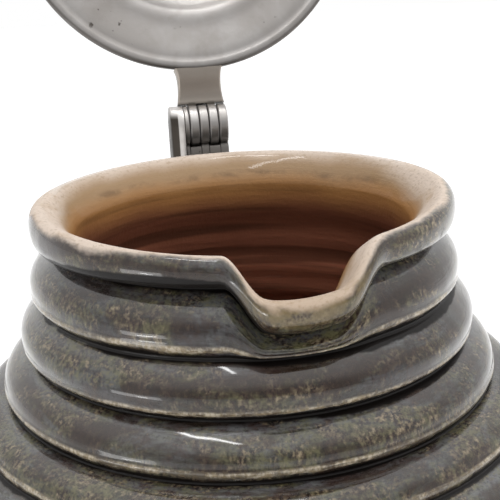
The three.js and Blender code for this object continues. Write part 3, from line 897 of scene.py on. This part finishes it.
def makeHingeBase(material):
    sizes = hingeSizes
    bevel = sizes["bevel"]
    left = knuckleMiddle(0) - sizes["knuckle"] / 2 - sizes["cheek"]
    slices = [("cheek", left + x, inset, setBack) for x, inset, setBack in sizes["cheekSlices"]]
    for index in range(5):
        low = knuckleMiddle(index) - sizes["knuckle"] / 2 + (0 if index else 1.3)
        high = knuckleMiddle(index) + sizes["knuckle"] / 2
        if index % 2:
            slices += [("gap", low - sizes["gap"], 0, 0), ("gap", high + sizes["gap"], 0, 0)]
        else:
            slices += [("knuckle", low, bevel, 0), ("knuckle", low + bevel, 0, 0),
                       ("knuckle", high - bevel, 0, 0), ("knuckle", high, bevel, 0)]
    rings = []
    for kind, x, inset, setBack in slices:
        rings.append([Vector((x, y, z)) + hingeAxis for y, z in hingeOutline(kind, inset, setBack)])
    bm, shadeAndGrime = newMesh("shadeAndGrime")
    loftRings(bm, rings)
    for vert in bm.verts:
        low = (vert.co.z / mm - hingeAxis.z) / sizes["barrel"]
        fromLeft = vert.co.x / mm - left
        # painted shade down the cheek's left face below the barrel's top, and on the knuckles down the front
        # and under the barrel
        if fromLeft < 1.2:
            vert[shadeAndGrime] = 0.97 * smoothStep(0.8, 0.5, low)
        elif fromLeft >= sizes["cheek"] + 1.2:
            vert[shadeAndGrime] = knuckleShadeAndGrime(low) + 0.22 * smoothStep(-1, -1.1, low)
    finishPiece(bm, "hingeBase", "jug", "hinge_base", material, 35)


def makeHingePin(material):
    sizes = hingeSizes
    half = (5 * sizes["knuckle"] + 4 * sizes["gap"] + sizes["cheek"]) / 2
    side = [(0, half + 0.12), (1.2, half + 0.1), (2.4, half + 0.02), (3.0, half - 0.12),
            (sizes["pinHead"], half - 0.4), (sizes["pin"], half - 1.4)]
    points = [(r, -x) for r, x in side] + [(r, x) for r, x in side[::-1]]
    bm, shadeAndGrime = newMesh("shadeAndGrime")
    spinProfile(bm, points, 48, (-sizes["cheek"] / 2, *hingeAxis.yz), "X")
    closeUp(bm)
    for vert in bm.verts:
        vert[shadeAndGrime] = 0.3
    finishPiece(bm, "hingePin", "jug", "hinge_pin", material, 50)


makeHingeBase(mountPewter)
makeHingePin(mountPewter)


# ---- the lid and what is soldered to it, made closed and then turned open

def turnOpen(bm):
    turn = Matrix.Rotation(-math.radians(hingeSizes["openAngle"]), 3, "X")
    bmesh.ops.rotate(bm, cent=hingeAxis * mm, matrix=turn, verts=bm.verts)


lidSizes = {
    "bottom": -4.7, "radius": 53.7, "edge": 2.2, "domeRadius": 33, "domeRise": 8.5,
    "flangeRise": 3.4, "wall": 2, "steps": 200,
}


def lidProfile():
    sizes = lidSizes
    radius, dome, rise, flange = (sizes[key] for key in ("radius", "domeRadius", "domeRise", "flangeRise"))
    wall, edge = sizes["wall"], sizes["edge"]
    under = smoothOutline([
        (0, flange + rise), (dome * 0.45, flange + rise * 0.95), (dome * 0.78, flange + rise * 0.72),
        (dome * 0.95, flange + rise * 0.34), (dome + 1.8, flange), (dome + 7, flange * 0.72),
        (radius - 6, flange * 0.2), (radius - 3, 0.35)], 46)
    bead = [(radius - 2.6, 0.12), (radius - 2.1, -0.02), (radius - 1.2, -0.06), (radius - 0.5, 0.02),
            (radius - 0.12, 0.3), (radius, 0.8), (radius, edge - 0.5), (radius - 0.2, edge + 0.1),
            (radius - 0.8, edge + 0.6), (radius - 1.6, edge + 0.75), (radius - 2.6, edge + 0.6)]
    over = smoothOutline([
        (radius - 3.2, edge + 0.5), (radius - 7, flange * 0.3 + wall), (dome + 7, flange * 0.72 + wall),
        (dome + 2.4, flange + wall), (dome * 0.98, flange + rise * 0.42 + wall),
        (dome * 0.79, flange + rise * 0.77 + wall), (dome * 0.45, flange + rise + wall),
        (0, flange + rise * 1.06 + wall)], 46)
    return under + bead + over


def makeLid(material):
    bm, shadeAndGrime = newMesh("shadeAndGrime")
    points = lidProfile()
    rim, dome, low = lidSizes["radius"] - 0.7, lidSizes["domeRadius"], hingeAxis.z + lidSizes["bottom"]
    # painted shade: the flange darker than the dome, and darkest round its outer edge
    lidShade = [0.8 if r > rim and z < lidSizes["edge"] + 0.3 else 0.45 * smoothStep(dome - 8, dome + 4, r)
              for r, z in points]
    spinProfile(bm, points, lidSizes["steps"], (0, 0, low), layers={shadeAndGrime: lidShade})
    closeUp(bm)
    for vert in bm.verts:
        # hammered and turned by hand, so the flange isn't quite flat
        radius = math.hypot(vert.co.x, vert.co.y) / mm
        wave = waveAround(math.atan2(vert.co.x, vert.co.y), 1.2, radius * 0.03)
        vert.co.z += 0.35 * mm * wave * smoothStep(12, 40, radius)
    turnOpen(bm)
    finishPiece(bm, "domedLid", "lid", "lid", material, 60)


shankSizes = {"bottom": -2.2, "top": 1.4, "lidHalf": 7.1, "hingeHalf": 7.45, "waist": 0.5, "round": 0.7}


def shankRing(y, low, high, half, corner):
    ring = []
    for side, level, start in ((1, 1, 0), (-1, 1, 90), (-1, -1, 180), (1, -1, 270)):
        for step in range(5):
            x, z = polar(corner, start + 22.5 * step)
            x += side * (half - corner)
            z += high - corner if level > 0 else low + corner
            ring.append(Vector((x, y, z)) + hingeAxis)
    return ring


def makeShank(material):
    sizes, hinge = shankSizes, hingeSizes
    lidEdge = lidSizes["radius"] - hinge["y"]
    near = -(hinge["barrel"] + 0.2)
    rows = []
    for step in range(25):
        t = step / 24
        y = near + (lidEdge - 0.6 - near) * t
        half = sizes["hingeHalf"] + (sizes["lidHalf"] - sizes["hingeHalf"]) * t
        half -= sizes["waist"] * math.sin(math.pi * t)
        flare = 0.5 * math.exp(-(1 - t) / 0.08)
        low = sizes["bottom"] + (lidSizes["bottom"] + 0.15 - sizes["bottom"]) * smoothStep(0.1, 1, t)
        rows.append((y, low, sizes["top"], half + flare))
    tip = lidEdge - 15
    for y, low, high in ((lidEdge - 1.4, -3.4, 1.4), (lidEdge - 5, -3.2, 1.4), (lidEdge - 9.5, -2.4, 1.35),
                         (lidEdge - 11, -2.2, 1.0), (tip + 1, -1.9, -0.5), (tip, -1.8, -1.2)):
        rows.append((y, low, high, sizes["lidHalf"] - (0.8 if y < tip + 2 else 0)))
    rings = [shankRing(y, low, high, half, min(sizes["round"], (high - low) * 0.45))
             for y, low, high, half in rows]
    bm, shadeAndGrime, stain = newMesh("shadeAndGrime", "stain")
    loftRings(bm, rings)
    barrel, bore, chamfer = hinge["barrel"], hinge["pin"] + 0.1, hinge["bevel"]
    for index in (1, 3):
        low = knuckleMiddle(index) - hinge["knuckle"] / 2
        high = knuckleMiddle(index) + hinge["knuckle"] / 2
        ring = [(bore, low), (barrel - chamfer, low), (barrel, low + chamfer), (barrel, high - chamfer),
                (barrel - chamfer, high), (bore, high), (bore, low)]
        spinProfile(bm, ring, 64, hingeAxis, "X")
        # the arm that joins the knuckle to the strap
        arm = [shankRing(y, sizes["bottom"], sizes["top"], hinge["knuckle"] / 2 - 0.05, 0.3)
               for y in (-barrel + 1.6, -barrel, near - 0.6)]
        for points in arm:
            for point in points:
                point.x += knuckleMiddle(index)
        loftRings(bm, arm)
    closeUp(bm)
    turnOpen(bm)
    for vert in bm.verts:
        away = (vert.co.yz / mm - hingeAxis.yz).length
        low = (vert.co.z / mm - hingeAxis.z) / barrel
        # painted shade: the knuckles darker down their front, and the strap darker where it meets the barrel
        if away < barrel + 0.1:
            vert[shadeAndGrime] = knuckleShadeAndGrime(low)
        else:
            vert[shadeAndGrime] = 0.9 * smoothStep(1.4, 0.2, away - barrel)
            vert[stain] = 0.9
    finishPiece(bm, "lidShank", "lid", "lid_shank", material, 40)


thumbSizes = {
    "height": 22, "ball": 5.4, "stem": 3.4, "foot": 1.5, "sides": 28, "ballBack": 1.5,
    "ballLean": -18,
}


def makeThumbLift(material):
    sizes = thumbSizes
    line = [(-11.5, sizes["foot"] - 0.4), (-10.5, sizes["foot"] + 4), (-7.5, sizes["height"] * 0.45),
            (-2.5, sizes["height"] * 0.72), (sizes["ballBack"], sizes["height"])]
    rings = []
    for sample in curveThrough([Vector((0, y, z)) + hingeAxis for y, z in line], 36):
        share = sample[2]
        foot = 2.4 * math.exp(-share / 0.04)
        rings.append(strapRing(sample, sizes["stem"] * (3.2 - 2 * share) + foot,
                               sizes["stem"] * (1.15 - 0.2 * share) + foot * 0.6, 0, sizes["sides"]))
    bm = bmesh.new()
    loftRings(bm, rings)
    ball = sizes["ball"]
    turned = [(0, -ball * 1.12), (2.6, -ball * 1.1), (3.5, -ball), (3.6, -ball * 0.86), (3.0, -ball * 0.78),
              *(polar(ball, degree) for degree in range(-48, 90, 6)), (0, ball)]
    stem = set(bm.verts)
    spinProfile(bm, turned, 56)
    added = [vert for vert in bm.verts if vert not in stem]
    top = Vector((0, sizes["ballBack"], sizes["height"])) + hingeAxis
    lean = Matrix.Rotation(math.radians(sizes["ballLean"]), 4, "X")
    bmesh.ops.transform(bm, matrix=Matrix.Translation(top * mm) @ lean, verts=added)
    closeUp(bm)
    turnOpen(bm)
    finishPiece(bm, "thumbLift", "lid", "thumb_lift", material, 50)


makeLid(lidPewter)
makeShank(lidPewter)
makeThumbLift(lidPewter)


# ---- camera, light and ground

cameraSizes = {
    "place": (-34.5, -215.29, 283.33), "azimuth": 9.5, "elevation": 17.15, "roll": 2.84,
    "focal": 900, "imageWidth": 500, "sensor": 36,
}


def makeCamera():
    sizes = cameraSizes
    level, lift = polar(1, sizes["elevation"])
    straight, tilt = polar(1, sizes["roll"])
    turn = Matrix.Rotation(-math.radians(sizes["azimuth"]), 3, "Z")
    right, ahead, up = (turn @ Vector(way) for way in ((1, 0, 0), (0, level, -lift), (0, lift, level)))
    camera = bpy.data.cameras.new("photoCamera")
    camera.sensor_width = sizes["sensor"]
    camera.lens = sizes["focal"] / sizes["imageWidth"] * sizes["sensor"]
    camera.clip_start, camera.clip_end = 0.01, 50
    pose = Matrix((right * straight - up * tilt, right * tilt + up * straight, -ahead)).transposed().to_4x4()
    pose.translation = Vector(sizes["place"]) * mm
    holder = bpy.data.objects.new("photoCamera", camera)
    holder.matrix_world = pose
    scene.collection.objects.link(holder)
    scene.camera = holder


lampSizes = {
    # azimuth from the jug's front towards the left, elevation, distance, size, power, shows in reflections
    "frontSoftbox": (12, 62, 1.2, (1.2, 1.2), 3.6, False),
    "rightSoftbox": (-74, 32, 1.2, (0.9, 0.6), 4.5, False),
    "backSoftbox": (190, 84, 1.1, (0.34, 0.06), 1.3, True),
    "leftWindow": (60, -12, 0.55, (0.24, 0.11), 0.3, True),
    "leftSpark": (57, -13, 0.54, (0.06, 0.014), 0.055, True),
    "highWindow": (72, 78, 0.9, (0.46, 0.035), 1.1, True),
}
lampAim = (0, 0, 0.2)


def addSoftbox(name, azimuth, elevation, distance, size, power, shows):
    level, lift = polar(1, elevation)
    ahead, side = polar(1, azimuth)
    way = Vector((-side * level, -ahead * level, lift))
    lamp = bpy.data.lights.new(name, "AREA")
    lamp.shape = "RECTANGLE"
    lamp.size, lamp.size_y = size
    lamp.energy = power
    holder = bpy.data.objects.new(name, lamp)
    holder.location = Vector(lampAim) + way * distance
    holder.rotation_euler = way.to_track_quat("Z", "Y").to_euler()
    holder.visible_glossy = shows
    scene.collection.objects.link(holder)


roomLevels = {"fill": 0.62, "front": 0.5, "overhead": 0.95}


def seenRays(tree):
    # masks of the rays from the eye, and of these and the mirrored ones
    rays = addNode(tree, "ShaderNodeLightPath").outputs
    return rays["Is Camera Ray"], larger(rays["Is Camera Ray"], rays["Is Glossy Ray"])


def makeWorld():
    # plain white to the eye; reflections find the room dimmer in front and brighter overhead
    levels = roomLevels
    world = bpy.data.worlds.new("paleStudio")
    world.use_nodes = True
    tree = world.node_tree
    background = tree.nodes["Background"]
    direct, seen = seenRays(tree)
    way = splitXyz(addNode(tree, "ShaderNodeTexCoord").outputs["Generated"])
    room = plus(fade(way["Y"], -0.95, -0.4, levels["front"], 1),
                fade(way["Z"], 0.35, 1, 0, levels["overhead"]))
    shown = fade(direct, 0, 1, room, 1.0)
    linkInputs(background, {"Strength": fade(seen, 0, 1, levels["fill"], shown)})
    background.inputs["Color"].default_value = (1, 1, 1, 1)
    scene.world = world


floorLooks = {
    "size": 6,
    "color": (0.86, 0.86, 0.86),
    "roughness": 0.7,
    "glow": (0.1, 0.3, 0.12, 0.5),  # metres from the foot where it starts and is full, and its strength there; the weaker glow near the foot is painted shade round it
}


def makeFloor():
    looks = floorLooks
    material, tree, shader = startMaterial("paleFloor", {
        "Roughness": looks["roughness"], "Base Color": (*looks["color"], 1), "Emission Color": (1, 1, 1, 1)})
    away = addNode(tree, "ShaderNodeVectorMath", {0: objectPlace(tree)}, operation="LENGTH").outputs["Value"]
    linkInputs(shader, {"Emission Strength": times(seenRays(tree)[1], fade(away, *looks["glow"]))})
    bm = bmesh.new()
    bmesh.ops.create_grid(bm, x_segments=1, y_segments=1, size=looks["size"])
    placeMesh(bm, "paleFloor", material)


makeCamera()
makeWorld()
makeFloor()
for lampName, lampSetting in lampSizes.items():
    addSoftbox(lampName, *lampSetting)

scene.view_settings.view_transform = "Standard"
print("scene ready")
